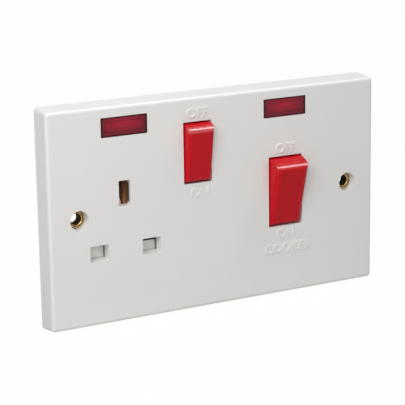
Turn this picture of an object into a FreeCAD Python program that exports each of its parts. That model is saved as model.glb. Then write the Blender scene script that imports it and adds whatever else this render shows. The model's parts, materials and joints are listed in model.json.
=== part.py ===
import FreeCAD
import Part
import math
import os
from FreeCAD import Vector

# Cooker control unit: a 45 A double-pole cooker switch and a 13 A switched socket on one plate.
# Millimetres. +Z is up, the front faces -Y, and +X is to the right seen from the front.
# The origin is midway between the two fixing eyelets, on the plane of their rear ends.

# Front plate
PLATE_W = 146.0
PLATE_H = 86.0
PLATE_DEPTH = 9.5
FACE_T = 2.4
SKIRT_T = 2.2
END_DRAFT = 0.3
EDGE_DRAFT = 1.0
CORNER_R = 1.5
EDGE_R = 1.4
MOUTH_R = 0.35
OVERCUT = 1.0

# Fixing eyelets
FIX_INSET = 12.7
EYELET_LENGTH = 4.6
EYELET_SINK = 3.0
EYELET_BORE_R = 2.1
EYELET_WALL = 0.65
EYELET_FLANGE_R = 3.5
EYELET_FLANGE_T = 0.7
EYELET_END_T = 0.5
SINK_R = 3.8
BOSS_R = 5.0

# Pin slots, shutter and pins
SOCKET_INSET = 31.9
EARTH_Z = 8.2
PIN_PITCH = 22.23
EARTH_RISE = 22.23
EARTH_SLOT_W = 4.9
EARTH_SLOT_H = 10.0
LINE_SLOT_W = 7.9
LINE_SLOT_H = 6.5
SLOT_TAPER_W = 0.5
SLOT_TAPER_H = 1.3
SLOT_DEPTH = 4.8
COLLAR_T = 1.4
LINE_PIN_H = 3.97
EARTH_PIN_W = 3.97
EARTH_PIN_H = 7.92
EARTH_PIN_LENGTH = 22.7
SHUTTER_GAP = 0.3
SHUTTER_T = 2.0
SHUTTER_LAP = 0.8
LIVE_BLADE_DROP = 2.8
SHUTTER_TRAVEL = 6.2
RAMP_W = 3.3
RAMP_SLOPE = 0.65
RAMP_T = 3.0
SPINE_W = 8.4
SPRING_WINDOW_W = 4.8
LEDGE_H = 1.5
SPRING_ROOM = 3.4
SPRING_TURNS = 6
SHUTTER_SPRING_R = 1.5
SHUTTER_WIRE_R = 0.22

# Rockers, pivoted in the collars behind their apertures
PIVOT_DEPTH = 2.7
COOKER_INSET = 42.25
COOKER_Z = 0.1
COOKER_APERTURE_W = 15.7
COOKER_APERTURE_H = 28.7
COOKER_FACE = 6.2
COOKER_EDGE_R = 2.0
COOKER_TILT = 15.5
SWITCH_X = -9.2
SWITCH_Z = 20.4
SWITCH_APERTURE_W = 12.4
SWITCH_APERTURE_H = 24.3
SWITCH_FACE = 5.4
SWITCH_EDGE_R = 1.6
SWITCH_TILT = 9.2
APERTURE_COLLAR_T = 1.8
APERTURE_COLLAR_DEPTH = 6.9
ROCKER_SIDE_GAP = 0.5
ROCKER_END_GAP = 0.5
ROCKER_WALL = 1.5
ROCKER_REAR = 3.5
STEM_H = 6.4
STEM_REAR = 7.2
STEM_WALL = 1.0
TRUNNION_R = 1.2
TRUNNION_LENGTH = 1.5
TRUNNION_GAP = 0.08

# Plungers, moving contacts and fixed contacts
POLE_PITCH = 7.4
PLUNGER_R = 2.0
PLUNGER_GAP = 0.06
PLUNGER_REACH = 10.5
PLUNGER_BODY = 5.6
PLUNGER_SPRING_LENGTH = 5.0
PLUNGER_SPRING_R = 1.45
PLUNGER_WIRE_R = 0.25
SPRING_END_GAP = 0.1
PLUNGER_MID_GAP = 0.2
ARM_W = 5.4
ARM_T = 1.6
ARM_HALF_LENGTH = 11.0
ARM_TILT = 9.0
BEAD_R = 1.1
BEAD_OFFSET = 0.1
CRADLE_GAP = 0.08
CRADLE_H = 4.4
CRADLE_SHOULDER = 0.35
CONTACT_RISE = 9.0
CONTACT_R = 1.9
MOVING_TIP_T = 1.0
FIXED_TIP_T = 1.2
CONTACT_GAP = 0.1

# Brass strips, pin clips and terminal blocks
STRIP_T = 1.0
STRIP_W = 5.0
LINK_T = 0.8
LINK_W = 3.4
CLIP_T = 0.8
CLIP_GRIP = 0.05
CLIP_W = 6.0
CLIP_EARTH_H = 11.0
PIN_END_ROOM = 0.8
BLOCK_W = 10.0
BLOCK_LENGTH = 11.0
BLOCK_SPREAD = 13.0
BLOCK_FRONT_WALL = 1.5
BLOCK_REAR_WALL = 4.0
CABLE_BORE_R = 3.1
CABLE_BORE_DEPTH = 9.5
EARTH_BLOCK_W = 16.0
EARTH_BORE_PITCH = 8.0
EARTH_BLOCK_OFFSET = 20.95
TERMINAL_SCREW_R = 2.4
TERMINAL_HEAD_R = 3.2
TERMINAL_HEAD_T = 1.8
SCREW_GAP = 0.06
SUPPLY_Z = -16.0
LOAD_Z = 21.3
STRAP_T = 0.6
STRAP_W = 4.0

# Rear housing
HOUSING_WALL = 2.0
NOTCH_WALL = 1.5
BLOCK_END_ROOM = 0.2
BLOCK_SIDE_ROOM = 0.45
CLIP_SIDE_ROOM = 0.7
HOUSING_GAP = 0.1
NOTCH_DEPTH = 8.3
NOTCH_REAR_DEPTH = 13.1
NOTCH_STRAIGHT = 13.7
NOTCH_TOP = 6.0
NOTCH_BOTTOM = -9.0
BARRIER_T = 1.2
BARRIER_ROOM = 0.5
CABLE_ENTRY_R = 3.7
SCREW_ACCESS_R = 3.7
SHROUD_T = 1.1
SHROUD_H = 1.4
HOUSING_EDGE_R = 1.2
PANEL_W = 46.0
PANEL_H = 30.0
PANEL_DEPTH = 0.5
PANEL_Z = 2.0
STRIP_ROOM = 0.3
POST_INSET = 0.3
KEEPER_T = 1.5
KEEPER_X = 7.0
KEEPER_GAP = 0.2
EAR_T = 1.8
EAR_REACH = 4.5
EAR_R = 4.0
EAR_RISE = 22.0
PILLAR_R = 3.4
HOUSING_SCREW_R = 1.4
HOUSING_HEAD_R = 2.7
HOUSING_HEAD_T = 1.6
HOUSING_SCREW_BITE = 5.2
RECESS_W = 0.7
CROSS_REACH = 1.6

# Neon indicators
NEON_W = 19.6
NEON_H = 7.6
NEON_INSET = 8.85
SOCKET_NEON_OFFSET = 0.5
COOKER_NEON_OFFSET = -0.3
LENS_GAP = 0.1
LENS_RECESS = 0.25
LENS_FRONT_T = 1.2
LENS_WALL = 1.0
LENS_LIP_W = 1.2
LENS_LIP_H = 0.6
LENS_LIP_T = 0.9
LENS_BEVEL = 0.25
HOLDER_WALL = 0.9
HOLDER_DEPTH = 6.5
LAMP_R = 1.9
LAMP_LENGTH = 13.0
LAMP_END_R = 1.1
LAMP_GAP = 0.3
LEAD_R = 0.35
LEAD_REACH = 1.1
LEAD_BEND_R = 0.7
LEAD_ROOM = 0.25
LEAD_DEPTH = 4.2
NEON_TAB_RISE = 2.5
RESISTOR_R = 1.15
RESISTOR_LENGTH = 5.5
RESISTOR_END_R = 0.5
RESISTOR_SETBACK = 3.0

# Planes along Y, from the front face to the back of the housing
RIM_Y = PLATE_DEPTH - EYELET_SINK - EYELET_LENGTH
FACE_Y = RIM_Y - PLATE_DEPTH
INNER_Y = FACE_Y + FACE_T
EYELET_FRONT_Y = FACE_Y + EYELET_SINK
COLLAR_Y = FACE_Y + SLOT_DEPTH
SHUTTER_Y = COLLAR_Y + SHUTTER_GAP
SHUTTER_REAR_Y = SHUTTER_Y + SHUTTER_T
PIVOT_Y = FACE_Y + PIVOT_DEPTH
APERTURE_COLLAR_Y = FACE_Y + APERTURE_COLLAR_DEPTH
ARM_AXIS_Y = PIVOT_Y + PLUNGER_REACH + PLUNGER_MID_GAP + ARM_T + BEAD_OFFSET
ARM_REAR_Y = ARM_AXIS_Y - BEAD_OFFSET * math.cos(math.radians(ARM_TILT))
STRIP_Y = ARM_REAR_Y + MOVING_TIP_T + CONTACT_GAP + FIXED_TIP_T
LINK_Y = FACE_Y + EARTH_PIN_LENGTH + PIN_END_ROOM
BORE_Y = STRIP_Y + BLOCK_FRONT_WALL + CABLE_BORE_R
BACK_Y = BORE_Y + CABLE_BORE_R + BLOCK_REAR_WALL
REAR_Y = BACK_Y + HOUSING_WALL
STRAP_Y = -EYELET_END_T - STRAP_T
HOUSING_FRONT_Y = -EYELET_END_T + HOUSING_GAP
BARRIER_Y = PIVOT_Y + math.hypot(STEM_REAR, STEM_H / 2) + BARRIER_ROOM

# Places seen from the front
FIX_SPACING = PLATE_W - 2 * FIX_INSET
SOCKET_X = SOCKET_INSET - PLATE_W / 2
COOKER_X = PLATE_W / 2 - COOKER_INSET
EARTH_BLOCK_X = COOKER_X - EARTH_BLOCK_OFFSET
NEON_Z = PLATE_H / 2 - NEON_INSET
SOCKET_NEON_X = SOCKET_X + SOCKET_NEON_OFFSET
COOKER_NEON_X = COOKER_X + COOKER_NEON_OFFSET
LINE_Z = EARTH_Z - EARTH_RISE
NEUTRAL_X = SOCKET_X - PIN_PITCH / 2
LIVE_X = SOCKET_X + PIN_PITCH / 2
COOKER_LIVE_X = COOKER_X - POLE_PITCH / 2
COOKER_NEUTRAL_X = COOKER_X + POLE_PITCH / 2
LIVE_BLOCK_X = COOKER_X - BLOCK_SPREAD / 2
NEUTRAL_BLOCK_X = COOKER_X + BLOCK_SPREAD / 2
SUPPLY_END_Z = SUPPLY_Z - BLOCK_LENGTH
LOAD_END_Z = LOAD_Z + BLOCK_LENGTH
HOUSING_LEFT = NEUTRAL_X - CLIP_W / 2 - CLIP_SIDE_ROOM - HOUSING_WALL
HOUSING_RIGHT = NEUTRAL_BLOCK_X + BLOCK_W / 2 + BLOCK_SIDE_ROOM + HOUSING_WALL
NOTCH_X = -FIX_SPACING / 2 + NOTCH_DEPTH
NOTCH_REAR_X = -FIX_SPACING / 2 + NOTCH_REAR_DEPTH
PANEL_X = (SOCKET_X + EARTH_BLOCK_X) / 2
HOUSING_BOTTOM = SUPPLY_END_Z - BLOCK_END_ROOM - HOUSING_WALL
HOUSING_TOP = LOAD_END_Z + BLOCK_END_ROOM + HOUSING_WALL
LINE_GAP = LINE_PIN_H / 2 - CLIP_GRIP
EARTH_LEAF_X = EARTH_PIN_W / 2 - CLIP_GRIP
LEAD_Y = INNER_Y + LEAD_DEPTH
LAMP_Y = FACE_Y + LENS_RECESS + LENS_FRONT_T + LAMP_GAP + LAMP_R
LENS_LIP_Y = INNER_Y + LENS_LIP_T
NEON_TAB_Z = SWITCH_Z + NEON_TAB_RISE
EARS = [
    (HOUSING_LEFT - EAR_REACH, -EAR_RISE),
    (HOUSING_LEFT - EAR_REACH, EAR_RISE),
    (HOUSING_RIGHT + EAR_REACH, -EAR_RISE),
    (HOUSING_RIGHT + EAR_REACH, EAR_RISE),
]


# Small builders

def box(x0, x1, y0, y1, z0, z1):
    return Part.makeBox(x1 - x0, y1 - y0, z1 - z0, Vector(x0, y0, z0))


def rod_x(y, z, radius, x0, x1):
    return Part.makeCylinder(radius, x1 - x0, Vector(x0, y, z), Vector(1, 0, 0))


def rod_y(x, z, radius, y0, y1):
    return Part.makeCylinder(radius, y1 - y0, Vector(x, y0, z), Vector(0, 1, 0))


def rod_z(x, y, radius, z0, z1):
    return Part.makeCylinder(radius, z1 - z0, Vector(x, y, z0), Vector(0, 0, 1))


def rectangle(half_w, half_h, x, y, z):
    corners = [(-1, -1), (1, -1), (1, 1), (-1, 1), (-1, -1)]
    return Part.makePolygon([Vector(x + half_w * i, y, z + half_h * k) for i, k in corners])


def frustum(w0, h0, y0, w1, h1, y1, x, z):
    first = rectangle(w0 / 2, h0 / 2, x, y0, z)
    last = rectangle(w1 / 2, h1 / 2, x, y1, z)
    return Part.makeLoft([first, last], True, True)


def side_profile(points, x0, x1):
    outline = Part.makePolygon([Vector(x0, y, z) for y, z in points + points[:1]])
    return Part.Face(outline).extrude(Vector(x1 - x0, 0, 0))


def joined(shapes):
    whole = shapes[0]
    if len(shapes) > 1:
        whole = shapes[0].multiFuse(shapes[1:])
    return whole.removeSplitter()


def turned(shape, y, z, degrees):
    copy = shape.copy()
    copy.rotate(Vector(0, y, z), Vector(1, 0, 0), degrees)
    return copy


def edges_along_y(shape):
    return [e for e in shape.Edges if abs(e.Vertexes[0].Y - e.Vertexes[-1].Y) > 1e-6]


def edges_at_y(shape, y):
    return [e for e in shape.Edges if all(abs(v.Y - y) < 1e-6 for v in e.Vertexes)]


def rims(rod):
    return [e for e in rod.Edges if e.isClosed()]


def helix_spring(x, y, z, radius, wire_r, length, direction):
    rise = length - 2 * wire_r
    path = Part.makeHelix(rise / SPRING_TURNS, rise, radius)
    section = Part.Wire(Part.makeCircle(wire_r, Vector(radius, 0, 0), Vector(0, 1, 0)))
    coil = Part.Wire(path.Edges).makePipeShell([section], True, True)
    coil.translate(Vector(0, 0, wire_r))
    place = FreeCAD.Placement(Vector(x, y, z), FreeCAD.Rotation(Vector(0, 0, 1), direction))
    coil.Placement = place.multiply(coil.Placement)
    return coil


def wire_tube(points, radius, bend_r):
    path = []
    start = points[0]
    for here, beyond in zip(points[1:-1], points[2:]):
        back = (start - here).normalize()
        onward = (beyond - here).normalize()
        first = here + back * bend_r
        last = here + onward * bend_r
        centre = here + back * bend_r + onward * bend_r
        middle = centre - (back + onward).normalize() * bend_r
        path.append(Part.LineSegment(start, first).toShape())
        path.append(Part.Arc(first, middle, last).toShape())
        start = last
    path.append(Part.LineSegment(start, points[-1]).toShape())
    along = points[1] - points[0]
    section = Part.Wire(Part.makeCircle(radius, points[0], along))
    return Part.Wire(path).makePipeShell([section], True, True)


# Front plate

def plate_shell():
    outer = frustum(PLATE_W, PLATE_H, RIM_Y,
                    PLATE_W - 2 * END_DRAFT, PLATE_H - 2 * EDGE_DRAFT, FACE_Y, 0, 0)
    outer = outer.makeFillet(CORNER_R, edges_along_y(outer))
    outer = outer.makeFillet(EDGE_R, edges_at_y(outer, FACE_Y))
    depth_share = (RIM_Y - INNER_Y) / PLATE_DEPTH
    inner = frustum(PLATE_W - 2 * SKIRT_T, PLATE_H - 2 * SKIRT_T, RIM_Y,
                    PLATE_W - 2 * SKIRT_T - 2 * END_DRAFT * depth_share,
                    PLATE_H - 2 * SKIRT_T - 2 * EDGE_DRAFT * depth_share, INNER_Y, 0, 0)
    return outer.cut(inner)


def pin_slot(x, z, width, height):
    over_w = SLOT_TAPER_W / SLOT_DEPTH * OVERCUT
    over_h = SLOT_TAPER_H / SLOT_DEPTH * OVERCUT
    cut = frustum(width + over_w, height + over_h, FACE_Y - OVERCUT,
                  width - SLOT_TAPER_W - over_w, height - SLOT_TAPER_H - over_h,
                  COLLAR_Y + OVERCUT, x, z)
    return cut.makeFillet(MOUTH_R, edges_along_y(cut))


def window(x, z, width, height):
    cut = box(x - width / 2, x + width / 2, FACE_Y - OVERCUT, INNER_Y + OVERCUT,
              z - height / 2, z + height / 2)
    return cut.makeFillet(MOUTH_R, edges_along_y(cut))


def collar(x, z, width, height, wall, y1):
    half_w = width / 2 + wall
    half_h = height / 2 + wall
    return box(x - half_w, x + half_w, INNER_Y, y1, z - half_h, z + half_h)


def aperture(x, z, width, height):
    cut = box(x - width / 2, x + width / 2, FACE_Y - OVERCUT, APERTURE_COLLAR_Y + OVERCUT,
              z - height / 2, z + height / 2)
    cut = cut.makeFillet(MOUTH_R, edges_along_y(cut))
    reach = width / 2 - ROCKER_SIDE_GAP + TRUNNION_LENGTH + TRUNNION_GAP
    bearing = rod_x(PIVOT_Y, z, TRUNNION_R + TRUNNION_GAP, x - reach, x + reach)
    return cut.fuse(bearing)


def eyelet_hole(x):
    seat_y = EYELET_FRONT_Y + EYELET_FLANGE_T
    seat_r = EYELET_FLANGE_R + SCREW_GAP
    sink = Part.makeCone(SINK_R, seat_r, EYELET_SINK, Vector(x, FACE_Y, 0), Vector(0, 1, 0))
    flange = rod_y(x, 0, seat_r, EYELET_FRONT_Y, seat_y)
    tube = rod_y(x, 0, EYELET_BORE_R + EYELET_WALL + SCREW_GAP, FACE_Y, RIM_Y)
    return joined([sink, flange, tube])


def shutter_guides():
    rib = SPINE_W / 2 + SCREW_GAP * 2
    top = LINE_Z + LINE_SLOT_H / 2 + COLLAR_T + SHUTTER_LAP + SHUTTER_TRAVEL
    bottom = LINE_Z + LINE_SLOT_H / 2 + COLLAR_T
    rear = SHUTTER_REAR_Y - KEEPER_GAP
    ribs = [box(SOCKET_X + side * (rib + COLLAR_T / 2) - COLLAR_T / 2,
                SOCKET_X + side * (rib + COLLAR_T / 2) + COLLAR_T / 2,
                INNER_Y, rear, bottom, top) for side in (-1, 1)]
    ledge_top = LINE_Z - LINE_SLOT_H / 2 + LEDGE_H
    half_ledge = SPRING_WINDOW_W / 2 - KEEPER_GAP
    ledge = box(SOCKET_X - half_ledge, SOCKET_X + half_ledge, INNER_Y, rear,
                ledge_top - LEDGE_H, ledge_top)
    return ribs + [ledge]


def front_plate():
    solids = [plate_shell()]
    earth_slot = (SOCKET_X, EARTH_Z, EARTH_SLOT_W, EARTH_SLOT_H)
    line_slots = [(x, LINE_Z, LINE_SLOT_W, LINE_SLOT_H) for x in (NEUTRAL_X, LIVE_X)]
    rockers = [(COOKER_X, COOKER_Z, COOKER_APERTURE_W, COOKER_APERTURE_H),
               (SWITCH_X, SWITCH_Z, SWITCH_APERTURE_W, SWITCH_APERTURE_H)]
    for x, z, width, height in line_slots:
        solids.append(collar(x, z, width, height, COLLAR_T, COLLAR_Y))
    for x, z, width, height in rockers:
        solids.append(collar(x, z, width, height, APERTURE_COLLAR_T, APERTURE_COLLAR_Y))
    solids.append(rod_y(-FIX_SPACING / 2, 0, BOSS_R, INNER_Y, STRAP_Y))
    solids.append(rod_y(FIX_SPACING / 2, 0, BOSS_R, INNER_Y, -EYELET_END_T))
    for x, z in EARS:
        solids.append(rod_y(x, z, PILLAR_R, INNER_Y, HOUSING_FRONT_Y))
    solids += shutter_guides()
    cuts = [pin_slot(*slot) for slot in [earth_slot] + line_slots]
    cuts += [aperture(*rocker) for rocker in rockers]
    cuts += [window(x, NEON_Z, NEON_W, NEON_H) for x in (SOCKET_NEON_X, COOKER_NEON_X)]
    cuts += [eyelet_hole(side * FIX_SPACING / 2) for side in (-1, 1)]
    tip = HOUSING_FRONT_Y - HOUSING_SCREW_BITE - SCREW_GAP
    cuts += [rod_y(x, z, HOUSING_SCREW_R + SCREW_GAP, tip, HOUSING_FRONT_Y) for x, z in EARS]
    return joined(solids).cut(Part.makeCompound(cuts)).removeSplitter()


def eyelet(x):
    tube_r = EYELET_BORE_R + EYELET_WALL
    seat_y = EYELET_FRONT_Y + EYELET_FLANGE_T
    flare = EYELET_FLANGE_T
    turn = math.sqrt(0.5)

    def at(r, y):
        return Vector(x + r, y, 0)

    lip_r = EYELET_BORE_R + flare
    arc_mid = at(lip_r - flare * turn, EYELET_FRONT_Y + flare - flare * turn)
    flare_arc = Part.Arc(at(EYELET_BORE_R, EYELET_FRONT_Y + flare), arc_mid, at(lip_r, EYELET_FRONT_Y))
    rim = EYELET_FLANGE_T / 2
    rim_mid = at(EYELET_FLANGE_R - rim + rim * turn, EYELET_FRONT_Y + rim - rim * turn)
    rim_arc = Part.Arc(at(EYELET_FLANGE_R - rim, EYELET_FRONT_Y), rim_mid,
                       at(EYELET_FLANGE_R, EYELET_FRONT_Y + rim))
    flat = Part.LineSegment(at(lip_r, EYELET_FRONT_Y), at(EYELET_FLANGE_R - rim, EYELET_FRONT_Y))
    outline = [flare_arc.toShape(), flat.toShape(), rim_arc.toShape()]
    rest = [at(EYELET_FLANGE_R, EYELET_FRONT_Y + rim), at(EYELET_FLANGE_R, seat_y),
            at(tube_r, seat_y), at(tube_r, -EYELET_END_T),
            at(EYELET_FLANGE_R, -EYELET_END_T), at(EYELET_FLANGE_R, 0),
            at(EYELET_BORE_R, 0), at(EYELET_BORE_R, EYELET_FRONT_Y + flare)]
    outline += Part.makePolygon(rest).Edges
    face = Part.Face(Part.Wire(Part.__sortEdges__(outline)))
    return face.revolve(Vector(x, 0, 0), Vector(0, 1, 0), 360)


def eyelet_earth_strap():
    x = -FIX_SPACING / 2
    corner = SOCKET_X - EARTH_LEAF_X - CLIP_T
    rear = STRAP_Y + STRAP_T
    half = STRAP_W / 2
    ring = rod_y(x, 0, BOSS_R - SCREW_GAP, STRAP_Y, rear)
    arm = box(x, corner - half, STRAP_Y, rear, -half, half)
    riser = box(corner - half - STRAP_W, corner - half, STRAP_Y, rear, -half, EARTH_Z + half)
    foot = box(corner - half - STRAP_W, corner, STRAP_Y, rear, EARTH_Z - half, EARTH_Z + half)
    hole = rod_y(x, 0, EYELET_BORE_R + EYELET_WALL + SCREW_GAP, STRAP_Y, rear)
    return joined([ring, arm, riser, foot]).cut(hole)


# Rockers and what they carry, built level and then tilted to the rest position

def rocker_blank(x, z, half_w, radius, face, rear):
    half_face = math.sqrt(radius ** 2 - face ** 2)
    half_rear = math.sqrt(radius ** 2 - rear ** 2)

    def at(w, v):
        return Vector(x - half_w, PIVOT_Y + w, z + v)

    edges = [Part.LineSegment(at(-face, -half_face), at(-face, half_face)).toShape(),
             Part.Arc(at(-face, half_face), at(0, radius), at(rear, half_rear)).toShape(),
             Part.LineSegment(at(rear, half_rear), at(rear, -half_rear)).toShape(),
             Part.Arc(at(rear, -half_rear), at(0, -radius), at(-face, -half_face)).toShape()]
    return Part.Face(Part.Wire(edges)).extrude(Vector(2 * half_w, 0, 0))


def rocker(x, z, width, height, face, edge_r, tilt, poles):
    half_w = width / 2 - ROCKER_SIDE_GAP
    radius = height / 2 - ROCKER_END_GAP
    blank = rocker_blank(x, z, half_w, radius, face, ROCKER_REAR)
    cap = blank.makeFillet(edge_r, edges_at_y(blank, PIVOT_Y - face))
    hollow = rocker_blank(x, z, half_w - ROCKER_WALL, radius - ROCKER_WALL, face - ROCKER_WALL,
                          ROCKER_REAR + OVERCUT)
    stem_half = max(abs(p - x) for p in poles) + PLUNGER_R + PLUNGER_GAP + STEM_WALL
    stem = box(x - stem_half, x + stem_half, PIVOT_Y - face + ROCKER_WALL / 2, PIVOT_Y + STEM_REAR,
               z - STEM_H / 2, z + STEM_H / 2)
    reach = half_w + TRUNNION_LENGTH
    trunnions = rod_x(PIVOT_Y, z, TRUNNION_R, x - reach, x + reach)
    whole = joined([cap.cut(hollow), stem, trunnions])
    floor = PIVOT_Y + plunger_back() - PLUNGER_SPRING_LENGTH - 2 * SPRING_END_GAP
    for pole in poles:
        whole = whole.cut(rod_y(pole, z, PLUNGER_R + PLUNGER_GAP, floor, PIVOT_Y + STEM_REAR + OVERCUT))
    return turned(whole, PIVOT_Y, z, tilt)


def plunger_back():
    return PLUNGER_REACH - PLUNGER_R - PLUNGER_BODY


def plunger(x, z, tilt):
    nose_y = PIVOT_Y + PLUNGER_REACH - PLUNGER_R
    body = rod_y(x, z, PLUNGER_R, PIVOT_Y + plunger_back(), nose_y)
    nose = Part.makeSphere(PLUNGER_R, Vector(x, nose_y, z), Vector(0, 1, 0))
    return turned(joined([body, nose]), PIVOT_Y, z, tilt)


def plunger_spring(x, z, tilt):
    front = PIVOT_Y + plunger_back() - SPRING_END_GAP - PLUNGER_SPRING_LENGTH
    coil = helix_spring(x, front, z, PLUNGER_SPRING_R, PLUNGER_WIRE_R, PLUNGER_SPRING_LENGTH,
                        Vector(0, 1, 0))
    return turned(coil, PIVOT_Y, z, tilt)


def moving_contact(x, z):
    slope = math.tan(math.radians(ARM_TILT))
    end_z = ARM_HALF_LENGTH * math.cos(math.radians(ARM_TILT))
    front = ARM_AXIS_Y - BEAD_OFFSET - ARM_T
    rear = ARM_AXIS_Y - BEAD_OFFSET
    points = [(front - end_z * slope, z - end_z), (front, z), (front - end_z * slope, z + end_z),
              (rear - end_z * slope, z + end_z), (rear, z), (rear - end_z * slope, z - end_z)]
    strip = side_profile(points, x - ARM_W / 2, x + ARM_W / 2)
    bead = rod_x(ARM_AXIS_Y, z, BEAD_R, x - ARM_W / 2, x + ARM_W / 2)
    return turned(joined([strip, bead]), ARM_AXIS_Y, z, -ARM_TILT)


def moving_tip(x, z):
    return rod_y(x, z + CONTACT_RISE, CONTACT_R, ARM_REAR_Y, ARM_REAR_Y + MOVING_TIP_T)


def fixed_tip(x, z):
    return rod_y(x, z + CONTACT_RISE, CONTACT_R, STRIP_Y - FIXED_TIP_T, STRIP_Y)


def cradle(x, z):
    block = box(x - ARM_W / 2, x + ARM_W / 2, ARM_AXIS_Y + CRADLE_SHOULDER, STRIP_Y + STRIP_T,
                z - CRADLE_H / 2, z + CRADLE_H / 2)
    return block.cut(rod_x(ARM_AXIS_Y, z, BEAD_R + CRADLE_GAP, x - ARM_W, x + ARM_W))


# Terminals, strips and pin clips

def strip(x0, x1, z0, z1):
    return box(x0, x1, STRIP_Y, STRIP_Y + STRIP_T, z0, z1)


def link(x0, x1, z0, z1):
    return box(x0, x1, LINK_Y, LINK_Y + LINK_T, z0, z1)


def terminal_block(x, inner_z, way, width, bores):
    outer_z = inner_z + way * BLOCK_LENGTH
    low = min(inner_z, outer_z)
    block = box(x - width / 2, x + width / 2, STRIP_Y, BACK_Y, low, low + BLOCK_LENGTH)
    bore_low = outer_z - CABLE_BORE_DEPTH if way > 0 else outer_z
    for bore_x in bores:
        block = block.cut(rod_z(bore_x, BORE_Y, CABLE_BORE_R, bore_low, bore_low + CABLE_BORE_DEPTH))
        block = block.cut(rod_y(bore_x, low + BLOCK_LENGTH / 2, TERMINAL_SCREW_R + SCREW_GAP,
                                BORE_Y, BACK_Y))
    return block


def supply_terminal(block_x, pole_x):
    block = terminal_block(block_x, SUPPLY_Z, -1, BLOCK_W, [block_x])
    feed = strip(pole_x - ARM_W / 2, pole_x + ARM_W / 2, SUPPLY_Z, COOKER_Z + CRADLE_H / 2)
    return joined([block, feed, cradle(pole_x, COOKER_Z)])


def load_terminal(block_x, pole_x):
    block = terminal_block(block_x, LOAD_Z, 1, BLOCK_W, [block_x])
    low = COOKER_Z + CONTACT_RISE - CONTACT_R - POST_INSET
    return joined([block, strip(pole_x - ARM_W / 2, pole_x + ARM_W / 2, low, LOAD_Z)])


def earth_bores():
    return [EARTH_BLOCK_X - EARTH_BORE_PITCH / 2, EARTH_BLOCK_X + EARTH_BORE_PITCH / 2]


def earth_terminal():
    return terminal_block(EARTH_BLOCK_X, LOAD_Z, 1, EARTH_BLOCK_W, earth_bores())


def terminal_screw_places():
    supply = SUPPLY_Z - BLOCK_LENGTH / 2
    load = LOAD_Z + BLOCK_LENGTH / 2
    places = [(LIVE_BLOCK_X, supply), (NEUTRAL_BLOCK_X, supply),
              (LIVE_BLOCK_X, load), (NEUTRAL_BLOCK_X, load)]
    return places + [(x, load) for x in earth_bores()]


def terminal_screw(x, z):
    shank_y = BORE_Y + CABLE_BORE_R + SCREW_GAP
    head_y = BACK_Y + HOUSING_WALL / 2
    shank = rod_y(x, z, TERMINAL_SCREW_R, shank_y, head_y)
    head = rod_y(x, z, TERMINAL_HEAD_R, head_y, head_y + TERMINAL_HEAD_T)
    slot = box(x - RECESS_W / 2, x + RECESS_W / 2, head_y + TERMINAL_HEAD_T / 2,
               head_y + 2 * TERMINAL_HEAD_T, z - TERMINAL_HEAD_R, z + TERMINAL_HEAD_R)
    return joined([shank, head]).cut(slot)


def line_leaves(x, rear):
    front = HOUSING_FRONT_Y + KEEPER_GAP
    leaves = []
    for side in (-1, 1):
        middle = LINE_Z + side * (LINE_GAP + CLIP_T / 2)
        leaves.append(box(x - CLIP_W / 2, x + CLIP_W / 2, front, rear,
                          middle - CLIP_T / 2, middle + CLIP_T / 2))
    return leaves


def switch_riser_x():
    return LIVE_X + CLIP_W / 2 + CLIP_T


def live_pin_contact():
    rear = STRIP_Y + STRIP_T
    half = LINE_GAP + CLIP_T
    web_x = LIVE_X + CLIP_W / 2
    web = box(web_x, web_x + CLIP_T, HOUSING_FRONT_Y + KEEPER_GAP, rear, LINE_Z - half, LINE_Z + half)
    riser_x = switch_riser_x()
    tip_z = SWITCH_Z + CONTACT_RISE
    riser = strip(web_x, riser_x + STRIP_W, LINE_Z - half, tip_z + STRIP_W / 2)
    riser = riser.cut(strip(web_x, riser_x, LINE_Z + half, tip_z + STRIP_W / 2))
    head = strip(riser_x, SWITCH_X + CONTACT_R + POST_INSET, tip_z - STRIP_W / 2, tip_z + STRIP_W / 2)
    lead_x = SOCKET_NEON_X + neon_lead_reach()
    tab = strip(lead_x - STRIP_W / 2, riser_x, NEON_TAB_Z - STRIP_W / 2, NEON_TAB_Z + STRIP_W / 2)
    return joined(line_leaves(LIVE_X, rear) + [web, riser, head, tab])


def neutral_neon_tab(z0, z1):
    left = SOCKET_NEON_X - neon_lead_reach() - LEAD_R
    return link(left, left + LINK_W, z0, z1)


def neutral_pin_contact():
    half = LINE_GAP + CLIP_T
    web = link(NEUTRAL_X - CLIP_W / 2, NEUTRAL_X + CLIP_W / 2, LINE_Z - half, LINE_Z + half)
    run_top = SUPPLY_Z + LINK_W
    run = link(NEUTRAL_X, NEUTRAL_BLOCK_X + BLOCK_W / 4, SUPPLY_Z + POST_INSET, run_top)
    foot = link(NEUTRAL_BLOCK_X - BLOCK_W / 4, NEUTRAL_BLOCK_X + BLOCK_W / 4, SUPPLY_Z, run_top)
    tab = neutral_neon_tab(SUPPLY_Z + POST_INSET, NEON_TAB_Z + STRIP_W / 2)
    return joined(line_leaves(NEUTRAL_X, LINK_Y + LINK_T) + [web, run, foot, tab])


def earth_pin_contact():
    front = INNER_Y + KEEPER_GAP
    outer = EARTH_LEAF_X + CLIP_T
    low = EARTH_Z - CLIP_EARTH_H / 2
    high = EARTH_Z + CLIP_EARTH_H / 2
    leaves = [box(SOCKET_X - outer, SOCKET_X - EARTH_LEAF_X, front, LINK_Y + LINK_T, low, high),
              box(SOCKET_X + EARTH_LEAF_X, SOCKET_X + outer, front, LINK_Y + LINK_T, low, high)]
    web = link(SOCKET_X - outer, SOCKET_X + outer, low, high)
    run_top = low + LINK_W / 2
    run = link(SOCKET_X - outer, EARTH_BLOCK_X + LINK_W / 2, run_top - LINK_W, run_top)
    riser = link(EARTH_BLOCK_X - LINK_W / 2, EARTH_BLOCK_X + LINK_W / 2, run_top - LINK_W, LOAD_Z)
    return joined(leaves + [web, run, riser])


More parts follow.
